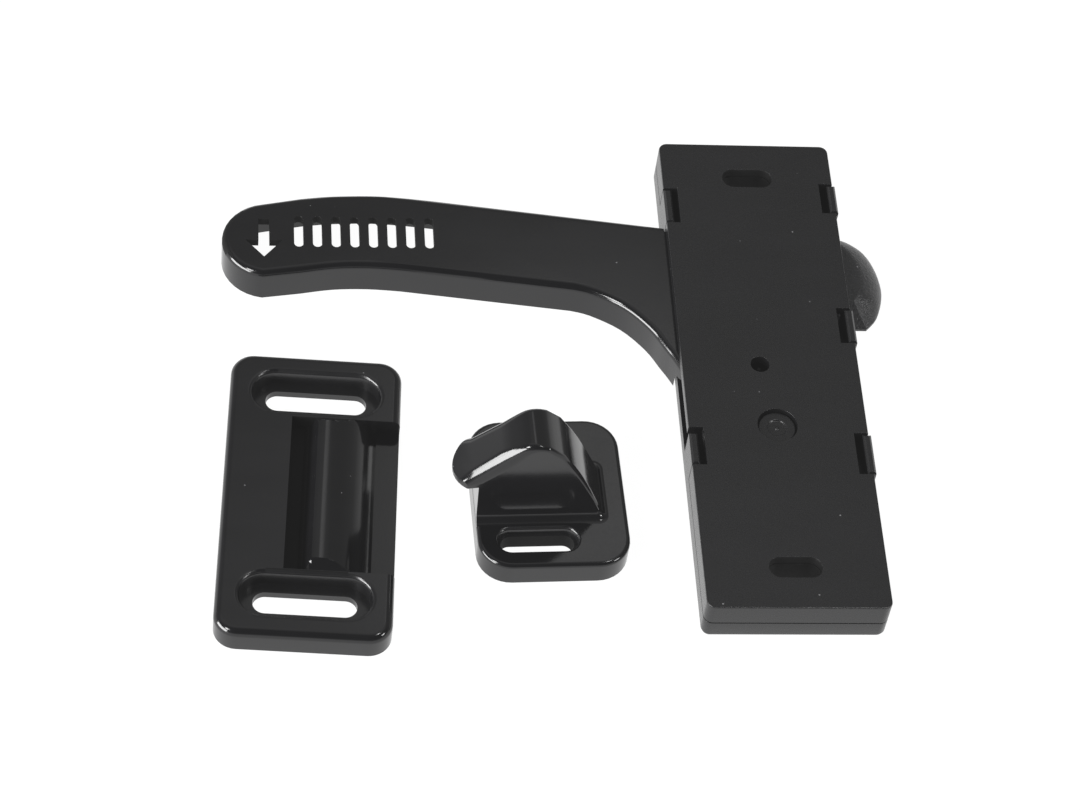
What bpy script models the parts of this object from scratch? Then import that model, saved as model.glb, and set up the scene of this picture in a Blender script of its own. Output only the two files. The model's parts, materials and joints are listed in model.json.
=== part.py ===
"""Sprung lever latch for a light door, laid out flat beside its strike plate and its hooked catch.

The latch lies on its front face, so its back cover is on top. Lengths below are in millimetres and
are turned into metres when a mesh is made. Shapes of the latch are drawn from the centre of its case.
"""

import math

import bmesh
import bpy
from mathutils import Vector

MM = 0.001
GAP = 0.3  # left between neighbouring pieces
ARC_STEP = math.radians(10)  # longest arc that one edge of an outline spans

# Where the pieces lie, from the centre of the kit's footprint.
CASE_AT = (48.05, 2.42)
STRIKE_AT = (-57.5, -30.8)
STRIKE_TURN = math.radians(-3.5)
CATCH_AT = (-4.4, -30.05)
CATCH_TURN = math.radians(2.0)

# Case: two moulded shells.
CASE_WIDTH = 41.1
CASE_LENGTH = 133.4
CASE_HEIGHT = 11.6
CASE_CORNER = 2.0
CASE_WALL = 1.8
FLOOR_TOP = 1.8
SEAM_LOW = 5.4
SEAM_HIGH = 5.7
COVER_UNDER = 9.2
CASE_SIDE = CASE_WIDTH / 2
CASE_END = CASE_LENGTH / 2

# Screw slots near both ends of the case.
SCREW_SLOT_AT = 56.0
SCREW_SLOT_LENGTH = 12.0
SCREW_SLOT_WIDTH = 5.4
SLOT_BOSS_WALL = 1.8

# Snap tabs of the front housing, as (side, low y, high y), and the openings between them.
SNAP_TABS = ((-1, 42.0, 52.5), (-1, -28.4, -19.2), (1, 45.6, 54.7), (1, 6.5, 16.8), (1, -30.7, -19.3))
LEFT_NOTCH_SPARE = 1.1  # room above the lower left tab, whose notch runs on up the cover
NOTCH_DEPTH = 3.4
TAB_THICKNESS = 2.0
TAB_CHAMFER = 0.5
RIGHT_TAB_PROUD = 0.6
LEVER_OPENING = (-19.5, 41.6)
LEVER_SILL = 4.2
BOLT_OPENING = (17.2, 45.2)

# Pivot of the lever.
PIVOT = (-0.1, -17.3)
PIN_RADIUS = 3.0
PIN_HEAD_RADIUS = 4.3
PIN_HEAD_THICKNESS = 1.2
PIN_HEAD_BELOW_COVER = 1.0
PIN_DISH_RADIUS = 2.3
PIN_DISH_DEPTH = 0.3
PIN_DOT_RADIUS = 0.5
COVER_HOLE_RADIUS = 4.6
PIVOT_BOSS_RADIUS = 6.0
PIVOT_BOSS_TOP = 2.6
PIN_SOCKET_FLOOR = 0.8
SPRING_HOLE = (-2.4, 0.0)
SPRING_HOLE_RADIUS = 2.2

# Lever: a thick open-bottomed handle, a neck over the sill and a thin arm inside the case.
HANDLE_HEIGHT = 8.9
HANDLE_SKIN = 2.2
HANDLE_WALL = 1.9
HANDLE_FILLET = 1.6
ROOT_END = -17.5
PADDLE_CENTRE = (-114.0, 37.5)
PADDLE_RADIUS = 10.95
NECK_LOW = 4.6
NECK_HIGH = 8.8
ARM_LOW = 2.9
ARM_HIGH = 5.0
HUB_RADIUS = 9.5
HUB_BOSS_RADIUS = 4.7
PEG_AT = (10.0, -8.4)
PEG_RADIUS = 1.5
PEG_TOP = 7.5

# Cut-outs in the handle's skin: a down arrow and a row of plain upright slots.
ARROW_AT = (-115.2, 37.5)
ARROW_LENGTH = 11.4
ARROW_WIDTH = 8.6
ARROW_SHAFT = 2.55
ARROW_HEAD = 5.0
GRILLE_FIRST = (-107.1, 39.5)
GRILLE_LAST = (-76.6, 39.6)
GRILLE_COUNT = 8
GRILLE_WIDTH = 2.2
GRILLE_LENGTH = 9.2

# Latch bolt: a curved nose with a tail that lies on the lever's arm.
BOLT_LOW = 2.2
BOLT_HIGH = 8.8
BOLT_RIM_TOP = 2.9
TAIL_LOW = 5.3
TAIL_HIGH = 8.3
BOLT_ROOT = 15.1
BOLT_ARC = math.radians(60)  # turn of the ramp's curve from its rim to the crease at the flat top
BOLT_END_FADES = (19.0, 22.5)  # from the flat slanting end, along the case, to the curved ramp
RIVETS = ((1.5, 32.5), (8.5, 24.0))
RIVET_RADIUS = 1.5
RIVET_HEAD_RADIUS = 2.8
RIVET_HEAD_THICKNESS = 0.9

# Torsion return spring round the hub.
WIRE_RADIUS = 0.42
WIRE_SIDES = 8
COIL_RADIUS = 6.2
COIL_LOW = 5.8
COIL_HIGH = 8.4
COIL_FULL_TURNS = 2
COIL_STEPS_PER_TURN = 20
LEG_ANGLE = math.radians(80)
LEG_LENGTH = 12.0
SPRING_TIP_TOP = 9.7

# Strike plate.
STRIKE_WIDTH = 38.7
STRIKE_LENGTH = 75.8
STRIKE_THICKNESS = 6.4
STRIKE_CORNER = 5.2
STRIKE_FILLET = 1.8
STRIKE_SLOTS_AT = (-26.8, 28.0)
STRIKE_SLOT_LENGTH = 22.8
STRIKE_SLOT_WIDTH = 5.4
STRIKE_RECESS_LENGTH = 28.8
STRIKE_RECESS_WIDTH = 11.0
STRIKE_RECESS_BELOW_SLOT = 0.4
STRIKE_FLOOR = 1.8
CHANNEL_END = 20.6
CHANNEL_LEFT = -4.95
RIDGE_CREST = 1.9
RIDGE_TOP = 8.4
RIDGE_FOOT = -1.5
RAMP_FOOT = 14.2
RAMP_POWER = 2.3
RIM_FLARE = 1.0

# Hooked catch.
CATCH_WIDTH = 34.0
CATCH_LENGTH = 39.8
CATCH_THICKNESS = 6.2
CATCH_CORNER = 7.5
CATCH_FILLET = 1.0
CATCH_SLOT_AT = (-3.6, 12.7)
CATCH_SLOT_LENGTH = 16.4
CATCH_SLOT_WIDTH = 4.6
CATCH_RECESS_LENGTH = 17.8
CATCH_RECESS_WIDTH = 6.0
CATCH_RECESS_FLOOR = 4.0
CATCH_RIM_FLARE = 0.7
TOWER_HALF_DEPTH = 6.5
TOWER_AT_Y = -0.3
TOWER_DRAFT = 0.005  # share of its depth that the tower loses with each millimetre of height
HOOK_UNDERSIDE = 17.4
HOOK_TIP = -22.6
HOOK_TIP_RADIUS = 6.9
HOOK_TIP_AT_Y = -0.8
TOWER_FILLET = 4.6
TOWER_TIP_RADIUS = 3.0
TOWER_TIP_GROWS = (-18.5, -14.0)
TOWER_FILLET_FADES = (-17.0, -3.5)  # where along the roof the broad fillet turns into a narrow edge
TOWER_EDGE = 1.0
FOOT_BLEND = 2.2  # radius of the hollow blend between the tower's walls and the plate

BLACK = (0.012, 0.012, 0.013)
MATERIALS = {
    "satin_black": (BLACK, 0.42, 0.0),
    "gloss_black": (BLACK, 0.18, 0.0),
    "grey_black": ((0.045, 0.045, 0.046), 0.5, 0.0),
    "steel": ((0.5, 0.5, 0.52), 0.35, 1.0),
}


# Outlines: closed runs of (x, y), anticlockwise.


def rounded(corners):
    """Outline through corners (x, y, radius), with an arc in place of each corner."""
    points = []
    for index, (x, y, radius) in enumerate(corners):
        before = direction((x, y), corners[index - 1])
        after = direction((x, y), corners[(index + 1) % len(corners)])
        if not radius:
            points.append((x, y))
            continue
        half = math.acos(before[0] * after[0] + before[1] * after[1]) / 2
        reach = radius / math.tan(half)
        middle = direction((0, 0), (before[0] + after[0], before[1] + after[1]))
        centre_x = x + middle[0] * radius / math.sin(half)
        centre_y = y + middle[1] * radius / math.sin(half)
        first = math.atan2(y + before[1] * reach - centre_y, x + before[0] * reach - centre_x)
        last = math.atan2(y + after[1] * reach - centre_y, x + after[0] * reach - centre_x)
        turn = math.remainder(last - first, math.tau)
        points += arc((centre_x, centre_y), radius, first, first + turn)
    return points


def direction(start, end):
    """Unit vector from one point towards another."""
    dx, dy = end[0] - start[0], end[1] - start[1]
    length = math.hypot(dx, dy)
    return dx / length, dy / length


def arc(centre, radius, first, last):
    steps = max(1, math.ceil(abs(last - first) / ARC_STEP - 0.001))
    angles = [first + (last - first) * step / steps for step in range(steps + 1)]
    return [(centre[0] + radius * math.cos(a), centre[1] + radius * math.sin(a)) for a in angles]


def circle(centre, radius):
    return arc(centre, radius, 0, math.tau)[:-1]


def rectangle(low_x, high_x, low_y, high_y, radius=0):
    corners = ((low_x, low_y), (high_x, low_y), (high_x, high_y), (low_x, high_y))
    return rounded([(x, y, radius) for x, y in corners])


def stadium(centre, length, width):
    """Slot outline with its long side along x."""
    x, y = centre
    straight = (length - width) / 2
    right = arc((x + straight, y), width / 2, -math.pi / 2, math.pi / 2)
    left = arc((x - straight, y), width / 2, math.pi / 2, math.pi * 3 / 2)
    return right + left


def spline(points, steps=4):
    """Smooth run through the points, which it starts and ends on."""
    ends = [points[0]] + list(points) + [points[-1]]
    run = []
    for a, b, c, d in zip(ends, ends[1:], ends[2:], ends[3:]):
        for step in range(steps):
            t = step / steps
            run.append(tuple(catmull(a[axis], b[axis], c[axis], d[axis], t) for axis in (0, 1)))
    return run + [tuple(points[-1])]


def catmull(a, b, c, d, t):
    curve = (2 * a - 5 * b + 4 * c - d) * t + (3 * b - a - 3 * c + d) * t * t
    return b + t * ((c - a) + curve) / 2


def inset(outline, distance):
    """Outline moved inwards by a distance, corner by corner."""
    moved = []
    for index, here in enumerate(outline):
        into = direction(outline[index - 1], here)
        out = direction(here, outline[(index + 1) % len(outline)])
        normal = direction((0, 0), (-into[1] - out[1], into[0] + out[0]))
        lean = -normal[0] * into[1] + normal[1] * into[0]
        moved.append((here[0] + normal[0] * distance / lean, here[1] + normal[1] * distance / lean))
    return moved


def between(first, second, share):
    """Outline part of the way from one outline to another."""
    return [(ax + (bx - ax) * share, ay + (by - ay) * share) for (ax, ay), (bx, by) in zip(first, second)]


# Solids: bmesh bodies made from outlines.


def loft(bm, rings):
    """Closed body through rings of (x, y, z), with as many points each."""
    corners = [[bm.verts.new((x * MM, y * MM, z * MM)) for x, y, z in ring] for ring in rings]
    for near, far in zip(corners, corners[1:]):
        for index in range(len(near)):
            after = (index + 1) % len(near)
            bm.faces.new((near[index], near[after], far[after], far[index]))
    bm.faces.new(reversed(corners[0]))
    bm.faces.new(corners[-1])


def stack(bm, layers):
    """Closed body through (outline, height) layers."""
    loft(bm, [[(x, y, z) for x, y in outline] for outline, z in layers])


def prism(bm, outline, low, high):
    stack(bm, ((outline, low), (outline, high)))


def domed(bm, outline, low, high, fillet, steps=5):
    """Upright body whose top edge is rounded by a fillet."""
    layers = [(outline, low)]
    for step in range(steps + 1):
        angle = math.pi / 2 * step / steps
        layers.append((inset(outline, fillet * (1 - math.cos(angle))), high - fillet * (1 - math.sin(angle))))
    stack(bm, layers)


def flared(bm, outline, low, high, flare, steps=4):
    """Cutter whose upper edge widens in a quarter round and then runs on above the surface."""
    layers = [(outline, low)]
    for step in range(steps + 1):
        angle = math.pi / 2 * step / steps
        layers.append((inset(outline, -flare * (1 - math.cos(angle))), high - flare * (1 - math.sin(angle))))
    layers.append((layers[-1][0], high + 2))
    stack(bm, layers)


# Objects.


def clear_scene():
    for item in list(bpy.data.objects):
        bpy.data.objects.remove(item, do_unlink=True)


def make_materials():
    for name, (colour, roughness, metallic) in MATERIALS.items():
        material = bpy.data.materials.new(name)
        material.use_nodes = True
        shader = material.node_tree.nodes["Principled BSDF"]
        shader.inputs["Base Color"].default_value = (*colour, 1)
        shader.inputs["Roughness"].default_value = roughness
        shader.inputs["Metallic"].default_value = metallic


def place(name, location, turn=0.0, parent=None):
    """Empty that carries the pieces of one loose unit or one moving body."""
    empty = bpy.data.objects.new(name, None)
    empty.location = (location[0] * MM, location[1] * MM, 0)
    empty.rotation_euler = (0, 0, turn)
    empty.parent = parent
    bpy.context.scene.collection.objects.link(empty)
    return empty


def add_object(name, bm, parent, offset=(0, 0)):
    bmesh.ops.recalc_face_normals(bm, faces=bm.faces)
    mesh = bpy.data.meshes.new(name)
    bm.to_mesh(mesh)
    bm.free()
    item = bpy.data.objects.new(name, mesh)
    item.parent = parent
    item.location = (offset[0] * MM, offset[1] * MM, 0)
    bpy.context.scene.collection.objects.link(item)
    return item


def add_piece(name, bm, material, parent, offset=(0, 0)):
    """Visible sub-part with its own material, shaded smooth between its sharp edges."""
    item = add_object(name, bm, parent, offset)
    own = bpy.data.materials[material].copy()
    own.name = f"{name}_{material}"
    item.data.materials.append(own)
    item.data.shade_smooth()
    item.data.set_sharp_from_angle(angle=math.radians(35))
    return item


def combine(piece, bm, operation):
    """Cuts the body in bm from a piece, or joins it on, with a Boolean modifier."""
    at = (piece.location.x / MM, piece.location.y / MM)
    helper = add_object(f"{piece.name}_{operation.lower()}", bm, piece.parent, at)
    helper.hide_render = True
    helper.display_type = "WIRE"
    modifier = piece.modifiers.new(helper.name, "BOOLEAN")
    modifier.operation = operation
    modifier.solver = "EXACT"
    modifier.object = helper
    return helper


# Latch case.


def case_outline(margin=0.0):
    half_width, half_length = CASE_SIDE - margin, CASE_END - margin
    return rectangle(-half_width, half_width, -half_length, half_length, max(CASE_CORNER - margin, 0.6))


def screw_slots(grow=0.0):
    """Outlines of the two screw slots, widened by a margin."""
    size = (SCREW_SLOT_LENGTH + 2 * grow, SCREW_SLOT_WIDTH + 2 * grow)
    return [stadium((0, side * SCREW_SLOT_AT), *size) for side in (-1, 1)]


def side_opening(side, span):
    """Outline of a gap in one side wall of the case."""
    inner, outer = CASE_SIDE - 2 * CASE_WALL, CASE_SIDE + 2
    return rectangle(*sorted((side * inner, side * outer)), *span)


def front_housing(parent):
    bm = bmesh.new()
    fillet = 1.3
    layers = [(case_outline(fillet), 0), (case_outline(fillet * 0.3), fillet * 0.3), (case_outline(), fillet)]
    stack(bm, layers + [(case_outline(), SEAM_LOW)])
    housing = add_piece("front_housing", bm, "satin_black", parent)

    cavity = bmesh.new()
    prism(cavity, case_outline(CASE_WALL), FLOOR_TOP, SEAM_LOW + 2)
    combine(housing, cavity, "DIFFERENCE")

    added = bmesh.new()
    for slot in screw_slots(SLOT_BOSS_WALL):
        prism(added, slot, FLOOR_TOP - 0.5, COVER_UNDER - GAP)
    prism(added, circle(PIVOT, PIVOT_BOSS_RADIUS), FLOOR_TOP - 0.5, PIVOT_BOSS_TOP)
    for side, low, high in SNAP_TABS:
        snap_tab(added, side, low + GAP, high - GAP)
    combine(housing, added, "UNION")

    cut = bmesh.new()
    for slot in screw_slots():
        prism(cut, slot, -1, COVER_UNDER + 2)
    prism(cut, circle(PIVOT, PIN_RADIUS + GAP), PIN_SOCKET_FLOOR, PIVOT_BOSS_TOP + 2)
    prism(cut, side_opening(-1, LEVER_OPENING), LEVER_SILL, SEAM_LOW + 1)
    prism(cut, side_opening(1, BOLT_OPENING), FLOOR_TOP, SEAM_LOW + 1)
    combine(housing, cut, "DIFFERENCE")
    return housing


def snap_tab(bm, side, low, high):
    """Upright tab on the side wall, with a chamfered top, that rises into a notch of the cover."""
    proud = RIGHT_TAB_PROUD if side > 0 else 0
    outer = CASE_SIDE + proud
    inner = outer - TAB_THICKNESS
    base = max(FLOOR_TOP, SEAM_LOW - 3)
    layers = []
    for margin, height in ((0, base), (0, CASE_HEIGHT - TAB_CHAMFER), (TAB_CHAMFER, CASE_HEIGHT)):
        span = sorted((side * (inner + margin), side * (outer - margin)))
        layers.append((rectangle(*span, low + margin, high - margin), height))
    stack(bm, layers)


def back_cover(parent):
    bm = bmesh.new()
    domed(bm, case_outline(), SEAM_HIGH, CASE_HEIGHT, 0.4, steps=2)
    cover = add_piece("back_cover", bm, "satin_black", parent)

    cavity = bmesh.new()
    prism(cavity, case_outline(CASE_WALL), SEAM_HIGH - 2, COVER_UNDER)
    combine(cover, cavity, "DIFFERENCE")

    cut = bmesh.new()
    for slot in screw_slots():
        prism(cut, slot, COVER_UNDER - 1, CASE_HEIGHT + 1)
    for side, low, high in SNAP_TABS:
        span = sorted((side * (CASE_SIDE - NOTCH_DEPTH), side * (CASE_SIDE + 2)))
        spare = LEFT_NOTCH_SPARE if side < 0 and high < 0 else 0
        prism(cut, rectangle(*span, low, high + spare), SEAM_HIGH - 1, CASE_HEIGHT + 1)
    prism(cut, circle(PIVOT, COVER_HOLE_RADIUS), COVER_UNDER - 1, CASE_HEIGHT + 1)
    prism(cut, circle(SPRING_HOLE, SPRING_HOLE_RADIUS), COVER_UNDER - 1, CASE_HEIGHT + 1)
    combine(cover, cut, "DIFFERENCE")

    openings = bmesh.new()
    prism(openings, side_opening(-1, LEVER_OPENING), SEAM_HIGH - 2, COVER_UNDER)
    prism(openings, side_opening(1, BOLT_OPENING), SEAM_HIGH - 2, COVER_UNDER)
    combine(cover, openings, "DIFFERENCE")
    return cover


def pivot_pin(parent):
    """Shank in the housing's socket, and a wide dished head that sits below the back cover's face."""
    top = CASE_HEIGHT - PIN_HEAD_BELOW_COVER
    head_low = top - PIN_HEAD_THICKNESS
    dish_floor = top - PIN_DISH_DEPTH
    shank = circle(PIVOT, PIN_RADIUS)
    head = circle(PIVOT, PIN_HEAD_RADIUS)
    dish = circle(PIVOT, PIN_DISH_RADIUS)
    dot = circle(PIVOT, PIN_DOT_RADIUS)
    bm = bmesh.new()
    layers = [(inset(shank, 0.4), PIN_SOCKET_FLOOR + GAP), (shank, PIN_SOCKET_FLOOR + GAP + 0.4)]
    layers += [(shank, head_low), (head, head_low), (head, top - 0.2), (inset(head, 0.2), top)]
    layers += [(dish, top), (inset(dish, 0.3), dish_floor), (dot, dish_floor), (inset(dot, 0.2), top - 0.05)]
    stack(bm, layers)
    return add_piece("pivot_pin", bm, "satin_black", parent)


# Lever.


def handle_edge():
    """Run along the handle's upper edge, round the paddle end and back along its lower edge."""
    upper = [(-75.0, 50.2), (-83.0, 51.1), (-90.1, 51.5), (-99.6, 51.1), (-106.6, 50.2)]
    lower = [(-106.6, 28.0), (-99.0, 29.3), (-91.0, 29.6), (-83.3, 29.1)]
    paddle = arc(PADDLE_CENTRE, PADDLE_RADIUS, math.radians(98), math.radians(262))
    return spline(upper, 4) + paddle + spline(lower, 4)


def handle_blank():
    """Handle whose root is carried on into the opening in the case's side."""
    sweep = [(-43.5, 24.0), (-38.9, 22.6), (-32.0, 18.5), (-26.6, 12.6)]
    sweep += [(-23.5, 7.2), (-21.2, 3.0), (-16.0, -8.0)]
    return [(-12.0, 41.9)] + handle_edge() + spline(sweep, 4) + [(-12.0, -8.0)]


def handle_hollow():
    """Space under the handle's skin, which stops short of the solid root."""
    root = [(-33.0, 19.4), (-33.0, 44.6)]
    return inset(handle_edge() + [(-43.5, 24.0), (-38.9, 22.6)] + root, HANDLE_WALL)


def arrow_outline():
    """Arrow that points along -y, towards the way the handle is pushed."""
    x, y = ARROW_AT
    tip, tail = y - ARROW_LENGTH / 2, y + ARROW_LENGTH / 2
    shaft, head = ARROW_SHAFT / 2, ARROW_WIDTH / 2
    corners = [(x, tip), (x + head, tip + ARROW_HEAD), (x + shaft, tip + ARROW_HEAD), (x + shaft, tail)]
    corners += [(x - shaft, tail), (x - shaft, tip + ARROW_HEAD), (x - head, tip + ARROW_HEAD)]
    return corners


def grille_slots():
    """Outlines of the upright round-ended slots along the handle."""
    outlines = []
    for index in range(GRILLE_COUNT):
        share = index / (GRILLE_COUNT - 1)
        x = GRILLE_FIRST[0] + share * (GRILLE_LAST[0] - GRILLE_FIRST[0])
        y = GRILLE_FIRST[1] + share * (GRILLE_LAST[1] - GRILLE_FIRST[1])
        flat = stadium((0, 0), GRILLE_LENGTH, GRILLE_WIDTH)
        outlines.append([(x - along_y, y + along_x) for along_x, along_y in flat])
    return outlines


def neck_outline():
    """Upper layer: from inside the handle's root down to the hub."""
    corners = [(-19.5, 40.8, 0), (-19.5, 2.0, 0), (-17.8, -2.6, 3), (-12.5, -9.5, 2), (-9.0, -9.5, 2)]
    return rounded(corners + [(-3.4, 10.0, 8), (-3.4, 38.8, 2)])


def arm_outline():
    """Lower layer: inside the case, clear of the sill when the lever is turned."""
    corners = [(-9.4, -16.0, 0), (9.3, -17.0, 0), (12.8, -10.0, 3), (14.8, 18.0, 10), (14.8, 37.6, 2)]
    return rounded(corners + [(-5.0, 39.6, 2), (-8.6, 20.0, 10), (-12.0, -5.0, 8)])


def lever_handle(parent, offset):
    bm = bmesh.new()
    domed(bm, handle_blank(), 0, HANDLE_HEIGHT, HANDLE_FILLET)
    lever = add_piece("lever_handle", bm, "gloss_black", parent, offset)

    hollow = bmesh.new()
    prism(hollow, handle_hollow(), -1, HANDLE_HEIGHT - HANDLE_SKIN)
    combine(lever, hollow, "DIFFERENCE")

    # The root ends inside the case, and clears the sill below it and the upper end of the opening.
    case_side = -CASE_SIDE - GAP
    above = HANDLE_HEIGHT + 1
    past_end, over_sill = (ROOT_END, -20, above), (case_side, -20, LEVER_SILL + GAP)
    beside_opening = (case_side, LEVER_OPENING[1] - GAP, above)
    for low_x, low_y, top in (past_end, over_sill, beside_opening):
        room = bmesh.new()
        prism(room, rectangle(low_x, 0, low_y, 60), -1, top)
        combine(lever, room, "DIFFERENCE")

    neck = bmesh.new()
    prism(neck, neck_outline(), NECK_LOW, NECK_HIGH)
    combine(lever, neck, "UNION")

    arm = bmesh.new()
    prism(arm, arm_outline(), ARM_LOW, ARM_HIGH)
    combine(lever, arm, "UNION")

    hub = bmesh.new()
    prism(hub, circle(PIVOT, HUB_RADIUS), ARM_LOW, ARM_HIGH - 0.1)
    combine(lever, hub, "UNION")

    bosses = bmesh.new()
    prism(bosses, circle(PIVOT, HUB_BOSS_RADIUS), ARM_LOW + 0.5, COVER_UNDER - GAP)
    prism(bosses, circle(PEG_AT, PEG_RADIUS), ARM_LOW + 0.5, PEG_TOP)
    combine(lever, bosses, "UNION")

    cut = bmesh.new()
    prism(cut, circle(PIVOT, PIN_RADIUS + GAP), -1, COVER_UNDER + 2)
    for centre in RIVETS:
        prism(cut, circle(centre, RIVET_RADIUS + GAP), ARM_LOW - 1, ARM_HIGH + 1)
    prism(cut, arrow_outline(), 1, HANDLE_HEIGHT + 1)
    for slot in grille_slots():
        prism(cut, slot, 1, HANDLE_HEIGHT + 1)
    combine(lever, cut, "DIFFERENCE")
    return lever


def latch_bolt(parent, offset):
    """Nose with a curved ramp on its back side and a slanting end, and a tail on the lever's arm."""
    rim = [(26.0, 17.4), (28.9, 21.0), (30.7, 27.0), (30.2, 33.1), (28.0, 38.8), (24.2, 42.0), (20.5, 43.0)]
    top = [(22.4, 21.2), (23.6, 23.2), (24.3, 26.9), (24.1, 31.0), (22.6, 35.2), (20.4, 38.2), (18.0, 39.5)]
    low_run = [(BOLT_ROOT, 17.4)] + spline(rim, 4) + [(BOLT_ROOT, 43.0)]
    high_run = [(BOLT_ROOT, 21.2)] + spline(top, 4) + [(BOLT_ROOT, 39.5)]
    layers = [(low_run, BOLT_LOW)]
    steps = 8
    for step in range(steps + 1):
        angle = BOLT_ARC * step / steps
        rise = math.sin(angle) / math.sin(BOLT_ARC)
        reach = (math.cos(angle) - math.cos(BOLT_ARC)) / (1 - math.cos(BOLT_ARC))
        height = BOLT_RIM_TOP + (BOLT_HIGH - BOLT_RIM_TOP) * rise
        layer = []
        for high, low in zip(high_run, low_run):
            curved = ease(low[1], *BOLT_END_FADES)
            layer += between([high], [low], (1 - rise) * (1 - curved) + reach * curved)
        layers.append((layer, height))
    bm = bmesh.new()
    stack(bm, layers)
    bolt = add_piece("latch_bolt", bm, "grey_black", parent, offset)

    tail = bmesh.new()
    corners = [(-2.0, 20.0, 2), (8.0, 18.6, 2), (BOLT_ROOT + 2, 18.6, 0), (BOLT_ROOT + 2, 40.0, 0)]
    prism(tail, rounded(corners + [(-2.0, 38.0, 2)]), TAIL_LOW, TAIL_HIGH)
    combine(bolt, tail, "UNION")

    cut = bmesh.new()
    for centre in RIVETS:
        shank = circle(centre, RIVET_RADIUS + GAP)
        head = circle(centre, RIVET_HEAD_RADIUS + GAP)
        shoulder = TAIL_HIGH - RIVET_HEAD_THICKNESS - GAP
        stack(cut, ((shank, TAIL_LOW - 1), (shank, shoulder), (head, shoulder), (head, TAIL_HIGH + 1)))
    combine(bolt, cut, "DIFFERENCE")
    return bolt


def bolt_rivets(parent, offset):
    """Rivets through the bolt's tail and the lever's arm, with heads sunk in the tail."""
    for index, centre in enumerate(RIVETS, 1):
        shank = circle(centre, RIVET_RADIUS)
        head = circle(centre, RIVET_HEAD_RADIUS)
        shoulder = TAIL_HIGH - RIVET_HEAD_THICKNESS
        bm = bmesh.new()
        stack(bm, ((shank, ARM_LOW), (shank, shoulder), (head, shoulder), (head, TAIL_HIGH)))
        add_piece(f"bolt_rivet_{index}", bm, "steel", parent, offset)


def return_spring(parent):
    """Torsion spring: one leg bears on the lever's peg, the other ends in the cover's small hole."""
    tip_x, tip_y = SPRING_HOLE
    reach = math.dist(PIVOT, SPRING_HOLE)
    aim = math.atan2(tip_y - PIVOT[1], tip_x - PIVOT[0])
    # The coil winds clockwise from the lever's leg until its tangent points at the small hole.
    first = LEG_ANGLE - math.pi / 2
    last = aim + math.acos(COIL_RADIUS / reach) - math.tau * (1 + COIL_FULL_TURNS)
    steps = round(COIL_STEPS_PER_TURN * (first - last) / math.tau)
    coil = []
    for step in range(steps + 1):
        angle = first + (last - first) * step / steps
        x = PIVOT[0] + COIL_RADIUS * math.cos(angle)
        y = PIVOT[1] + COIL_RADIUS * math.sin(angle)
        coil.append((x, y, COIL_LOW + (COIL_HIGH - COIL_LOW) * step / steps))
    end_x = coil[0][0] + LEG_LENGTH * math.cos(LEG_ANGLE)
    end_y = coil[0][1] + LEG_LENGTH * math.sin(LEG_ANGLE)
    bend = 0.6
    hook = [(tip_x, tip_y - bend, COIL_HIGH), (tip_x, tip_y, COIL_HIGH + bend)]
    hook.append((tip_x, tip_y, SPRING_TIP_TOP))
    bm = bmesh.new()
    wire(bm, [(end_x, end_y, COIL_LOW)] + coil + hook)
    return add_piece("return_spring", bm, "steel", parent)


def wire(bm, path):
    """Round wire along a path of (x, y, z)."""
    points = [Vector(point) for point in path]
    rings = []
    side = Vector((0, 0, 1))
    for index, point in enumerate(points):
        before = points[max(index - 1, 0)]
        after = points[min(index + 1, len(points) - 1)]
        along = (after - before).normalized()
        side = (side - along * side.dot(along)).normalized()
        up = along.cross(side)
        angles = [math.tau * corner / WIRE_SIDES for corner in range(WIRE_SIDES)]
        rings.append([point + (side * math.cos(a) + up * math.sin(a)) * WIRE_RADIUS for a in angles])
    loft(bm, rings)


# Strike plate.


def ramp_profile(highest):
    """Section of ridge and ramp, kept under a height: steep on the left, a long curve on the right."""
    profile = [(RIDGE_FOOT - 0.4, STRIKE_FLOOR - 1)]
    profile += [(RIDGE_FOOT - 0.4, STRIKE_FLOOR), (RIDGE_FOOT + 0.6, 3.0), (0.5, 7.4), (1.0, 8.2)]
    steps = 14
    for step in range(steps + 1):
        share = step / steps
        x = RIDGE_CREST + (RAMP_FOOT - RIDGE_CREST) * share
        profile.append((x, RIDGE_TOP - (RIDGE_TOP - STRIKE_FLOOR) * share**RAMP_POWER))
    profile.append((RAMP_FOOT + 0.3, STRIKE_FLOOR - 1))
    return [(x, min(z, highest)) for x, z in profile][::-1]


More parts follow.
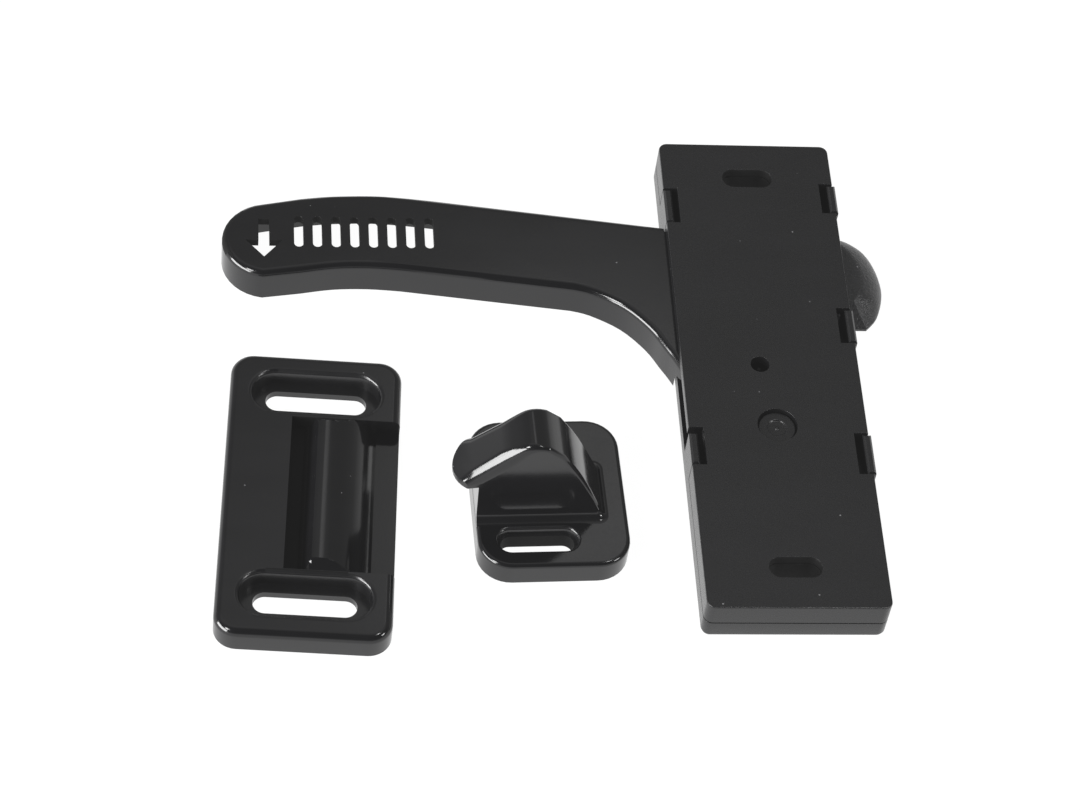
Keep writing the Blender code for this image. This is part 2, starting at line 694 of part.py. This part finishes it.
def strike_plate(parent):
    half_width, half_length = STRIKE_WIDTH / 2, STRIKE_LENGTH / 2
    bm = bmesh.new()
    outline = rectangle(-half_width, half_width, -half_length, half_length, STRIKE_CORNER)
    domed(bm, outline, 0, STRIKE_THICKNESS, STRIKE_FILLET)
    strike = add_piece("strike_plate", bm, "gloss_black", parent)

    channel = bmesh.new()
    opening = rectangle(CHANNEL_LEFT, half_width + 3, -CHANNEL_END, CHANNEL_END)
    prism(channel, opening, STRIKE_FLOOR, RIDGE_TOP)
    combine(strike, channel, "DIFFERENCE")

    ridge = bmesh.new()
    stations = [(ramp_profile(STRIKE_THICKNESS - 0.2), -CHANNEL_END - 1)]
    steps = 4
    for step in range(steps + 1):
        rise = (RIDGE_TOP - STRIKE_THICKNESS) * step / steps
        stations.append((ramp_profile(STRIKE_THICKNESS + rise), -CHANNEL_END + rise))
    stations += [(profile, -y) for profile, y in stations[::-1]]
    loft(ridge, [[(x, y, z) for x, z in profile] for profile, y in stations])
    combine(strike, ridge, "UNION")

    cut = bmesh.new()
    for slot_at in STRIKE_SLOTS_AT:
        centre = (0.2, slot_at - STRIKE_RECESS_BELOW_SLOT)
        recess = stadium(centre, STRIKE_RECESS_LENGTH, STRIKE_RECESS_WIDTH)
        flared(cut, recess, STRIKE_FLOOR, STRIKE_THICKNESS, RIM_FLARE)
    combine(strike, cut, "DIFFERENCE")

    through = bmesh.new()
    for slot_at in STRIKE_SLOTS_AT:
        centre = (0.2, slot_at)
        prism(through, stadium(centre, STRIKE_SLOT_LENGTH, STRIKE_SLOT_WIDTH), -1, STRIKE_FLOOR + 1)
    combine(strike, through, "DIFFERENCE")
    return strike


# Hooked catch.


def tower_profile():
    """Side view of the tower, as (x, z, radius of the edge there). The tip keeps a broad radius."""
    wall = -CATCH_WIDTH / 2
    left = [(wall + 0.2, 1.5), (wall - 0.2, HOOK_UNDERSIDE), (HOOK_TIP - 3, HOOK_UNDERSIDE - 1.0)]
    left += [(HOOK_TIP - 3, 16.6), (HOOK_TIP - 0.8, 17.0)]
    roof = [(-18.5, 21.0)] + spline([(-12.6, 26.8), (-8.2, 30.2), (-5.4, 30.9), (-2.3, 30.1)], 4)
    right = spline([(1.0, 27.3), (5.5, 19.8), (10.0, 10.0), (11.5, 6.0)], 4) + [(12.0, 1.5)]
    profile = [(x, z, 0) for x, z in left]
    profile += [(x, z, roof_radius(x)) for x, z in roof]
    profile += [(x, z, TOWER_EDGE) for x, z in right]
    return profile[::-1]


def roof_radius(x):
    """Radius of the roof's rounded edges: small at the tip, broad on the slope, small at the top."""
    rising = TOWER_TIP_RADIUS + (TOWER_FILLET - TOWER_TIP_RADIUS) * ease(x, *TOWER_TIP_GROWS)
    fading = TOWER_FILLET - (TOWER_FILLET - TOWER_EDGE) * ease(x, *TOWER_FILLET_FADES)
    return min(rising, fading)


def ease(value, low, high):
    """Share of the way from low to high, held between 0 and 1."""
    return min(max((value - low) / (high - low), 0), 1)


def tower_ring(angle, side):
    """One ring of the tower: its profile drawn in, and brought forward, as the rounded edge turns."""
    profile = tower_profile()
    outline = [(x, z) for x, z, radius in profile]
    ring = []
    for (x, z, radius), (in_x, in_z) in zip(profile, inset(outline, 1)):
        drawn_in = radius * (1 - math.cos(angle))
        depth = TOWER_HALF_DEPTH - max(radius, TOWER_EDGE) * (1 - math.sin(angle))
        x, z = x + (in_x - x) * drawn_in, z + (in_z - z) * drawn_in
        depth *= 1 - TOWER_DRAFT * (z - CATCH_THICKNESS)
        ring.append((x, TOWER_AT_Y + side * depth, z))
    return ring


def tip_plan():
    """Footprint that rounds the hook's tip and leaves the rest of the tower alone."""
    half = TOWER_HALF_DEPTH + GAP
    lean = math.asin(half / HOOK_TIP_RADIUS)
    centre = (HOOK_TIP + HOOK_TIP_RADIUS, HOOK_TIP_AT_Y)
    tip = arc(centre, HOOK_TIP_RADIUS, math.pi - lean, math.pi + lean)
    return tip + [(CATCH_WIDTH, HOOK_TIP_AT_Y - half), (CATCH_WIDTH, HOOK_TIP_AT_Y + half)]


def foot_blend(bm):
    """Hollow blend round the tower's foot. It is slimmer on the sloping right side."""
    left, right, lean = 0.05 - CATCH_WIDTH / 2, 11.4, 0.4
    layers = []
    steps = 7
    for step in range(steps + 1):
        angle = math.pi / 2 * step / steps
        reach, rise = FOOT_BLEND * (1 - math.sin(angle)), FOOT_BLEND * (1 - math.cos(angle))
        side = TOWER_HALF_DEPTH * (1 - TOWER_DRAFT * rise) + reach
        edge = right - lean * rise + reach * 0.6
        corner = TOWER_EDGE + reach * 0.6
        corners = [(left, -side, 0), (edge, -side, corner), (edge, side, corner), (left, side, 0)]
        outline = rounded([(x, TOWER_AT_Y + y, radius) for x, y, radius in corners])
        layers.append((outline, CATCH_THICKNESS + rise))
    lowest, highest = layers[0], layers[-1]
    layers.insert(0, (lowest[0], CATCH_THICKNESS - 0.5))
    layers.append((inset(highest[0], 0.4), highest[1] + 0.2))
    stack(bm, layers)


def door_catch(parent):
    half_width, half_length = CATCH_WIDTH / 2, CATCH_LENGTH / 2
    bm = bmesh.new()
    outline = rectangle(-half_width, half_width, -half_length, half_length, CATCH_CORNER)
    domed(bm, outline, 0, CATCH_THICKNESS, CATCH_FILLET)
    catch = add_piece("door_catch", bm, "gloss_black", parent)

    body = bmesh.new()
    steps = 9
    angles = [math.pi / 2 * step / steps for step in range(steps + 1)]
    rings = [tower_ring(angle, -1) for angle in angles[::-1]] + [tower_ring(angle, 1) for angle in angles]
    loft(body, rings)
    tower = combine(catch, body, "UNION")

    plan = bmesh.new()
    prism(plan, tip_plan(), 0, CASE_LENGTH)
    combine(tower, plan, "INTERSECT")

    blend = bmesh.new()
    foot_blend(blend)
    combine(catch, blend, "UNION")

    cut = bmesh.new()
    slot_x, slot_y = CATCH_SLOT_AT
    for side in (-1, 1):
        centre = (slot_x, side * slot_y)
        recess = stadium(centre, CATCH_RECESS_LENGTH, CATCH_RECESS_WIDTH)
        flared(cut, recess, CATCH_RECESS_FLOOR, CATCH_THICKNESS, CATCH_RIM_FLARE)
    combine(catch, cut, "DIFFERENCE")

    through = bmesh.new()
    for side in (-1, 1):
        slot = stadium((slot_x, side * slot_y), CATCH_SLOT_LENGTH, CATCH_SLOT_WIDTH)
        prism(through, slot, -1, CATCH_RECESS_FLOOR + 1)
    combine(catch, through, "DIFFERENCE")
    return catch


def main():
    clear_scene()
    make_materials()
    latch = place("latch", CASE_AT)
    pivot = place("lever_pivot", PIVOT, parent=latch)
    back = (-PIVOT[0], -PIVOT[1])
    front_housing(latch)
    back_cover(latch)
    pivot_pin(latch)
    return_spring(latch)
    lever_handle(pivot, back)
    latch_bolt(pivot, back)
    bolt_rivets(pivot, back)
    strike_plate(place("strike", STRIKE_AT, STRIKE_TURN))
    door_catch(place("catch", CATCH_AT, CATCH_TURN))


main()
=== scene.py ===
"""Looks of a black plastic lever latch, its strike plate and its hooked catch, laid out on a white table."""

import json
import math

import bmesh
import bpy
from mathutils import Euler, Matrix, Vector


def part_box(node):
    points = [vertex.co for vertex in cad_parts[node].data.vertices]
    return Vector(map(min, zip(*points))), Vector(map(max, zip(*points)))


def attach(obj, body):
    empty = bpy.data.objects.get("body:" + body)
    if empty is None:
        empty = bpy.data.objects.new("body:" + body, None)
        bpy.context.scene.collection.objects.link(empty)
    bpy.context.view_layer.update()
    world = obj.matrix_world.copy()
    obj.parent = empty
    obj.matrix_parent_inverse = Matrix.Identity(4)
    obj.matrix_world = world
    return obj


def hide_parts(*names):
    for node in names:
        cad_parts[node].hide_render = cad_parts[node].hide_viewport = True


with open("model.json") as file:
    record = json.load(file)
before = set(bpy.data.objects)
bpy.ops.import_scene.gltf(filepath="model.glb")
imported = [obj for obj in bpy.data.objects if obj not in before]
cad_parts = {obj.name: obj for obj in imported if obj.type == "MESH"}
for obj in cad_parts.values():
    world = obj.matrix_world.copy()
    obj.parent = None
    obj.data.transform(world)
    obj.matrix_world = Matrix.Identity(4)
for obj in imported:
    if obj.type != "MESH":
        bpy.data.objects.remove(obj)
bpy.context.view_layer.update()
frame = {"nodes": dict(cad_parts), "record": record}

NODES = frame["nodes"]
MM = 0.001
EDGE_MARK = "rubbed_edge"
MOST_CORNERS = 40  # faces with more corners than this are split where splitting is asked for
JOIN_WITHIN = 2e-6
FLAT_WITHIN = 0.6  # degrees
HARD_EDGE = 28.0  # degrees from which an edge is rounded
SHARP_EDGE = 35.0  # degrees from which shading breaks
ROUND_STEPS = 3
OPENINGS = {opening["name"]: opening["box_m"] for opening in frame["record"]["physics"]["openings"]}

CAMERA_AT = (-0.08905, -0.45393, 0.60274)
CAMERA_TURN = (37.034, -5.515, -3.364)
CAMERA_LENS = 110.273
PANEL_TOWARDS = (0.131, 0.574, 0.808)  # direction of a soft panel behind and above the set
FLARE = 0.011  # veil of stray light that lifts the blacks a little

# Skies, as (from, to, strength at each) along the height or depth of a direction.
HORIZON = (0.0, 0.30, 0.75, 0.0)
DOME = (0.05, 0.60, 0.4, 0.26)
ZENITH = (0.77, 0.86, 0.0, 0.3)
BEHIND = (-0.15, 0.30, 0.10, 1.0)
PANEL_EDGE = (0.9962, 0.9996, 0.0, 1.0)

PLASTIC_IOR = 1.46
WORN = (0.35, 0.35, 0.36, 1.0)
SPECKS_PER_METRE = 380.0

SKIN = 0.03 * MM  # depth of the outer faces, which keep the finish of their piece
RIDGE_ABOVE_PLATE = 2 * MM
POCKET_LEFT, POCKET_RIGHT, POCKET_END = 6.4 * MM, 0.6 * MM, 21 * MM
CATCH_TOP, CATCH_SEAT = 6.2 * MM, 4.0 * MM
CUT_OUTS_INSET, CUT_OUTS_RIGHT = 0.6 * MM, -26 * MM
CUT_OUTS_LOW, CUT_OUTS_HIGH = 6.75 * MM, 8.85 * MM


# Materials.


class Tree:
    """Short calls for building a node tree."""

    def __init__(self, owner):
        owner.use_nodes = True
        self.nodes = owner.node_tree.nodes
        self.links = owner.node_tree.links

    def add(self, kind, inputs=None, **settings):
        node = self.nodes.new(kind)
        for name, value in settings.items():
            setattr(node, name, value)
        for name, value in (inputs or {}).items():
            self.put(node, name, value)
        return node

    def put(self, node, name, value):
        socket = node.inputs[name]
        if isinstance(value, bpy.types.NodeSocket):
            self.links.new(value, socket)
        else:
            socket.default_value = value

    def noise(self, coordinates, scale, detail=2.0, roughness=0.5):
        node = self.add("ShaderNodeTexNoise", {"Vector": coordinates, "Scale": scale, "Detail": detail})
        node.inputs["Roughness"].default_value = roughness
        return node.outputs["Fac"]

    def spread(self, value, low, high, to_low, to_high):
        inputs = {"Value": value, "From Min": low, "From Max": high, "To Min": to_low, "To Max": to_high}
        return self.add("ShaderNodeMapRange", inputs).outputs["Result"]

    def maths(self, operation, first, second):
        node = self.add("ShaderNodeMath", operation=operation)
        self.put(node, 0, first)
        self.put(node, 1, second)
        return node.outputs[0]


def plastic(name, colour, roughness, grain, grain_scale, dust=0.0, specular=0.5, depth=0.0001):
    """Moulded black plastic: fine grain, uneven gloss, rubbed edges and a few specks of dust."""
    material = bpy.data.materials.new(name)
    tree = Tree(material)
    shader = tree.nodes["Principled BSDF"]
    place = tree.add("ShaderNodeTexCoord").outputs["Object"]

    fine = tree.noise(place, grain_scale, 3.0, 0.6)
    broad = tree.noise(place, 60.0, 3.0, 0.5)
    flow_at = tree.add("ShaderNodeMapping", {"Vector": place, "Scale": (1.0, 4.0, 2.0)}).outputs["Vector"]
    flow = tree.noise(flow_at, 40.0, 2.0, 0.5)

    gloss = tree.spread(broad, 0.3, 0.7, roughness - 0.012, roughness + 0.012)
    gloss = tree.maths("ADD", gloss, tree.spread(flow, 0.3, 0.7, -0.008, 0.008))
    gloss = tree.maths("ADD", gloss, tree.spread(fine, 0.3, 0.7, -0.02, 0.02))
    tree.put(shader, "Roughness", gloss)

    edge = tree.add("ShaderNodeAttribute", attribute_name=EDGE_MARK, attribute_type="GEOMETRY").outputs["Fac"]
    rubbed = tree.maths("MULTIPLY", edge, tree.spread(fine, 0.35, 0.7, 0.0, 0.05))
    specks = tree.add("ShaderNodeTexVoronoi", {"Vector": place, "Scale": SPECKS_PER_METRE}, feature="F1")
    speck = tree.spread(specks.outputs["Distance"], 0.05, 0.09, 1.0, 0.0)
    rare = tree.spread(specks.outputs["Color"], 0.80, 0.82, 0.0, dust)
    light = tree.maths("MAXIMUM", rubbed, tree.maths("MULTIPLY", speck, rare))

    tint = tree.add("ShaderNodeMix", data_type="RGBA")
    tree.put(tint, "Factor", tree.spread(flow, 0.3, 0.7, 0.0, 1.0))
    tree.put(tint, 6, (*(channel * 0.85 for channel in colour), 1.0))
    tree.put(tint, 7, (*(channel * 1.15 for channel in colour), 1.0))
    mix = tree.add("ShaderNodeMix", data_type="RGBA")
    tree.put(mix, "Factor", light)
    tree.put(mix, 6, tint.outputs[2])
    tree.put(mix, 7, WORN)
    tree.put(shader, "Base Color", mix.outputs[2])

    bump = tree.add("ShaderNodeBump", {"Height": fine, "Strength": grain, "Distance": depth})
    tree.put(shader, "Normal", bump.outputs["Normal"])
    shader.inputs["IOR"].default_value = PLASTIC_IOR
    shader.inputs["Specular IOR Level"].default_value = specular
    return material


def steel(name, dark, light):
    """Drawn or turned steel, streaked along its length."""
    material = bpy.data.materials.new(name)
    tree = Tree(material)
    shader = tree.nodes["Principled BSDF"]
    place = tree.add("ShaderNodeTexCoord").outputs["Object"]
    along = tree.add("ShaderNodeMapping", {"Vector": place, "Scale": (900.0, 900.0, 90.0)}).outputs["Vector"]
    drawn = tree.noise(along, 4.0, 3.0, 0.6)
    tree.put(shader, "Roughness", tree.spread(drawn, 0.3, 0.7, 0.25, 0.45))
    colour = tree.add("ShaderNodeMix", data_type="RGBA")
    tree.put(colour, "Factor", drawn)
    tree.put(colour, 6, (dark, dark, dark, 1.0))
    tree.put(colour, 7, (light, light, light, 1.0))
    tree.put(shader, "Base Color", colour.outputs[2])
    bump = tree.add("ShaderNodeBump", {"Height": drawn, "Strength": 0.2, "Distance": 0.00005})
    tree.put(shader, "Normal", bump.outputs["Normal"])
    shader.inputs["Metallic"].default_value = 1.0
    return material


# Pieces: finer copies of the CAD solids, with every hard edge rounded.


def cleaned(source, name, split=False):
    """Copy of a CAD mesh with its vertices joined, its flat faces merged and its stored normals dropped.

    Where asked, faces with many corners are split again, or rounding their edges would fold them.
    """
    mesh = source.data.copy()
    mesh.name = name
    mesh.materials.clear()
    stored = mesh.attributes.get("custom_normal")
    if stored:
        mesh.attributes.remove(stored)
    bm = bmesh.new()
    bm.from_mesh(mesh)
    bmesh.ops.remove_doubles(bm, verts=bm.verts, dist=JOIN_WITHIN)
    flat = math.radians(FLAT_WITHIN)
    bmesh.ops.dissolve_limit(
        bm, angle_limit=flat, verts=bm.verts, edges=bm.edges, use_dissolve_boundaries=False
    )
    if split:
        wide = [face for face in bm.faces if len(face.verts) > MOST_CORNERS]
        bmesh.ops.triangulate(bm, faces=wide, ngon_method="BEAUTY")
    bm.to_mesh(mesh)
    bm.free()
    return mesh


def bevelled(mesh, width):
    """The mesh with its hard edges rounded in geometry, and those rounds marked for the material."""
    for index in (0, 1):
        mesh.materials.append(bpy.data.materials.new(f"part_{index}"))
    holder = bpy.data.objects.new("bevel_holder", mesh)
    bpy.context.scene.collection.objects.link(holder)
    bevel = holder.modifiers.new("edges", "BEVEL")
    bevel.width = width * MM
    bevel.segments = ROUND_STEPS
    bevel.limit_method = "ANGLE"
    bevel.angle_limit = math.radians(HARD_EDGE)
    bevel.use_clamp_overlap = True
    bevel.miter_outer = "MITER_ARC"
    bevel.material = 1
    depsgraph = bpy.context.evaluated_depsgraph_get()
    result = bpy.data.meshes.new_from_object(holder.evaluated_get(depsgraph), depsgraph=depsgraph)
    result.name = mesh.name
    bpy.data.objects.remove(holder)
    mark = result.attributes.new(EDGE_MARK, "FLOAT", "CORNER")
    for face in result.polygons:
        for corner in face.loop_indices:
            mark.data[corner].value = float(face.material_index)
        face.material_index = 0
    result.materials.clear()
    return result


def flat_areas(bm):
    """Area of the flat region that each face belongs to."""
    areas = {}
    for seed in bm.faces:
        if seed in areas:
            continue
        region, waiting = {seed}, [seed]
        while waiting:
            for edge in waiting.pop().edges:
                for other in edge.link_faces:
                    if other not in region and other not in areas and seed.normal.dot(other.normal) > 0.99998:
                        region.add(other)
                        waiting.append(other)
        total = sum(face.calc_area() for face in region)
        areas.update(dict.fromkeys(region, total))
    return areas


def smooth_fan(vertex, face, sharp_cosine):
    """Faces round the vertex that run on smoothly from the given one."""
    fan, waiting = {face}, [face]
    while waiting:
        here = waiting.pop()
        for edge in here.edges:
            if vertex in edge.verts:
                for other in edge.link_faces:
                    if other not in fan and here.normal.dot(other.normal) > sharp_cosine:
                        fan.add(other)
                        waiting.append(other)
    return fan


def set_normals(mesh):
    """Smooth shading in which large flat regions stay flat and the rounded edges turn between them."""
    sharp = math.radians(SHARP_EDGE)
    mesh.shade_smooth()
    mesh.set_sharp_from_angle(angle=sharp)
    bm = bmesh.new()
    bm.from_mesh(mesh)
    bm.normal_update()
    areas = flat_areas(bm)
    sharp_cosine = math.cos(sharp)
    normals = []
    for face in bm.faces:
        for vertex in face.verts:
            total = Vector()
            for near in smooth_fan(vertex, face, sharp_cosine):
                total += near.normal * areas[near]
            normals.append(total.normalized() if total.length else face.normal.copy())
    bm.free()
    mesh.normals_split_custom_set(normals)


def opening_zones(piece, finish_or_shade, margin_x, margin_y, high_z):
    """The material and box for both screw slots of a piece: painted shade in holes, a moulded finish in
    recesses. Margins in millimetres widen each opening.
    """
    zones = []
    for end in ("upper", "lower"):
        low, high = OPENINGS[f"{piece}_{end}_screw_slot"]
        low = (low[0] - margin_x * MM, low[1] - margin_y * MM, SKIN)
        high = (high[0] + margin_x * MM, high[1] + margin_y * MM, high_z)
        zones.append((finish_or_shade, (low, high)))
    return zones


def inner_zones(hole_shade, moulded):
    """Where pieces get other materials, as (finish_or_shade, box): painted shade on the walls of the holes,
    the lower catch seats, the pocket and the cut-outs, and a moulded finish in the recesses and upper catch
    seats.
    """
    case_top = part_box("back_cover")[1][2] - SKIN
    screw_holes = opening_zones("case", hole_shade, 2.6, 1.2, case_top)
    (low_x, low_y, _), (high_x, high_y, top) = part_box("strike_plate")
    middle_x, middle_y = (low_x + high_x) / 2, (low_y + high_y) / 2
    plate_top = top - RIDGE_ABOVE_PLATE - SKIN
    recesses = opening_zones("strike", moulded, 7.2, 3.6, plate_top)
    pocket_low = (middle_x - POCKET_LEFT, middle_y - POCKET_END, SKIN)
    pocket_high = (middle_x + POCKET_RIGHT, middle_y + POCKET_END, plate_top)
    seats = opening_zones("catch", moulded, 3.9, 1.3, CATCH_TOP - SKIN)
    seats += opening_zones("catch", hole_shade, 3.9, 1.3, CATCH_SEAT - SKIN)
    (_, low_y, _), (_, high_y, _) = OPENINGS["handle_hollow_middle"]
    cut_low = (-1.0, low_y + CUT_OUTS_INSET, CUT_OUTS_LOW)
    cut_high = (CUT_OUTS_RIGHT, high_y - CUT_OUTS_INSET, CUT_OUTS_HIGH)
    return {
        "front_housing": screw_holes,
        "back_cover": screw_holes,
        "strike_plate": recesses + [(hole_shade, (pocket_low, pocket_high))],
        "door_catch": seats,
        "lever_handle": [(hole_shade, (cut_low, cut_high))],
    }


def inside(point, zone):
    """Whether a point lies in a box given by its two corners."""
    low, high = zone
    return all(low[axis] <= point[axis] <= high[axis] for axis in range(3))


def refined(node, body, material, width, zones):
    """The visible piece for a CAD node: edges rounded, finishes and painted shade given, and tied to its
    body.
    """
    mesh = cleaned(NODES[node], f"{node}_look", split=node == "strike_plate")
    if width:
        mesh = bevelled(mesh, width)
    set_normals(mesh)
    mesh.materials.append(material)
    # Zones give the faces inside them a real finish or painted shade.
    for finish_or_shade, zone in zones:
        if finish_or_shade.name not in mesh.materials:
            mesh.materials.append(finish_or_shade)
        for face in mesh.polygons:
            if inside(face.center, zone):
                face.material_index = mesh.materials.find(finish_or_shade.name)
    piece = bpy.data.objects.new(f"{node}_look", mesh)
    bpy.context.scene.collection.objects.link(piece)
    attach(piece, body)
    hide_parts(node)


def build_pieces():
    satin = plastic("satin_black", (0.005, 0.005, 0.0055), 0.27, 0.25, 3200.0, dust=0.5)
    gloss = plastic("gloss_black", (0.004, 0.004, 0.0045), 0.12, 0.04, 2200.0, dust=0.4)
    grained = plastic("grey_black", (0.018, 0.018, 0.019), 0.30, 1.0, 1900.0, dust=0.8, depth=0.0002)
    # Painted shade: a dull, weakly reflecting black on the walls of holes, the pocket and the cut-outs,
    # darkening them where shade falls.
    hole_shade = plastic("painted_shade_black", (0.004, 0.004, 0.004), 0.65, 0.4, 2600.0, specular=0.12)
    moulded = plastic("moulded_black", (0.006, 0.006, 0.0065), 0.24, 0.15, 1400.0, specular=0.6)
    metal = steel("rivet_steel", 0.42, 0.58)
    # Very dark steel wire, made this dark as painted shade so the spring tip seen down the small hole stays
    # dark.
    shaded_wire = steel("dark_steel_painted_shade", 0.008, 0.016)
    zones = inner_zones(hole_shade, moulded)
    bodies = frame["record"]["behaviour"]["bodies"]
    body_of = {node: body for body, nodes in bodies.items() for node in nodes}
    finishes = {
        "front_housing": (satin, 0.2),
        "back_cover": (satin, 0.2),
        "pivot_pin": (satin, 0.12),
        "return_spring": (shaded_wire, 0),
        "lever_handle": (gloss, 0.2),
        "latch_bolt": (grained, 0.15),
        "bolt_rivet_1": (metal, 0.15),
        "bolt_rivet_2": (metal, 0.15),
        "strike_plate": (gloss, 0.25),
        "door_catch": (gloss, 0.25),
    }
    for node, (material, width) in finishes.items():
        refined(node, body_of[node], material, width, zones.get(node, ()))


# Stage.


def build_floor():
    bm = bmesh.new()
    bmesh.ops.create_grid(bm, x_segments=1, y_segments=1, size=3.0)
    mesh = bpy.data.meshes.new("floor")
    bm.to_mesh(mesh)
    bm.free()
    floor = bpy.data.objects.new("floor", mesh)
    floor.location.z = -0.0001
    bpy.context.scene.collection.objects.link(floor)
    material = bpy.data.materials.new("table_white")
    tree = Tree(material)
    shader = tree.nodes["Principled BSDF"]
    shader.inputs["Base Color"].default_value = (0.05, 0.05, 0.05, 1.0)
    shader.inputs["Roughness"].default_value = 0.9
    shader.inputs["Emission Color"].default_value = (1.0, 1.0, 1.0, 1.0)
    shader.inputs["Emission Strength"].default_value = 0.98
    mesh.materials.append(material)


def build_world():
    """White near the horizon and dark overhead: upright faces catch light, flat tops stay black."""
    world = bpy.data.worlds.new("studio")
    bpy.context.scene.world = world
    tree = Tree(world)
    direction = tree.add("ShaderNodeTexCoord").outputs["Generated"]
    height = tree.add("ShaderNodeSeparateXYZ", {"Vector": direction}).outputs["Z"]
    side = tree.add("ShaderNodeSeparateXYZ", {"Vector": direction}).outputs["Y"]
    horizon = tree.spread(height, *HORIZON)
    dome = tree.spread(height, *DOME)
    overhead = tree.maths("ADD", dome, tree.spread(height, *ZENITH))
    behind = tree.spread(side, *BEHIND)
    strength = tree.maths("ADD", horizon, tree.maths("MULTIPLY", overhead, behind))
    towards = tree.add("ShaderNodeVectorMath", {0: direction, 1: PANEL_TOWARDS}, operation="DOT_PRODUCT")
    panel = tree.spread(towards.outputs["Value"], *PANEL_EDGE)
    strength = tree.maths("ADD", strength, panel)
    background = tree.nodes["Background"]
    tree.put(background, "Color", (1.0, 1.0, 1.0, 1.0))
    tree.put(background, "Strength", strength)


def add_light(name, location, size, power):
    """Rectangular soft light that faces the origin."""
    data = bpy.data.lights.new(name, "AREA")
    data.shape = "RECTANGLE"
    data.size, data.size_y = size
    data.energy = power
    light = bpy.data.objects.new(name, data)
    light.location = location
    light.rotation_euler = (-Vector(location)).to_track_quat("-Z", "Y").to_euler()
    bpy.context.scene.collection.objects.link(light)


def aim(azimuth, elevation):
    """Point one metre from the origin, in a direction given in degrees."""
    turn, rise = math.radians(azimuth), math.radians(elevation)
    flat = math.cos(rise)
    return flat * math.cos(turn), flat * math.sin(turn), math.sin(rise)


def build_lights():
    add_light("strip_left", aim(-156, 11), (0.84, 0.46), 26.0)
    add_light("box_left", aim(-140, 38), (0.20, 0.26), 4.5)
    add_light("glint_top", aim(-19, 69), (0.13, 0.13), 1.1)
    add_light("box_right", aim(-28, 32), (0.22, 0.16), 2.8)


def build_camera():
    data = bpy.data.cameras.new("camera")
    data.lens = CAMERA_LENS
    data.sensor_width = 36.0
    data.clip_start = 0.01
    data.clip_end = 20.0
    camera = bpy.data.objects.new("camera", data)
    camera.location = CAMERA_AT
    camera.rotation_euler = Euler([math.radians(turn) for turn in CAMERA_TURN])
    bpy.context.scene.collection.objects.link(camera)
    bpy.context.scene.camera = camera


def set_view():
    """Plain view with the blacks lifted a little by stray light."""
    view = bpy.context.scene.view_settings
    view.view_transform = "Standard"
    view.use_curve_mapping = True
    curve = view.curve_mapping.curves[3]
    curve.points[0].location = (0.0, FLARE)
    view.curve_mapping.update()


set_view()
build_pieces()
build_floor()
build_world()
build_lights()
build_camera()
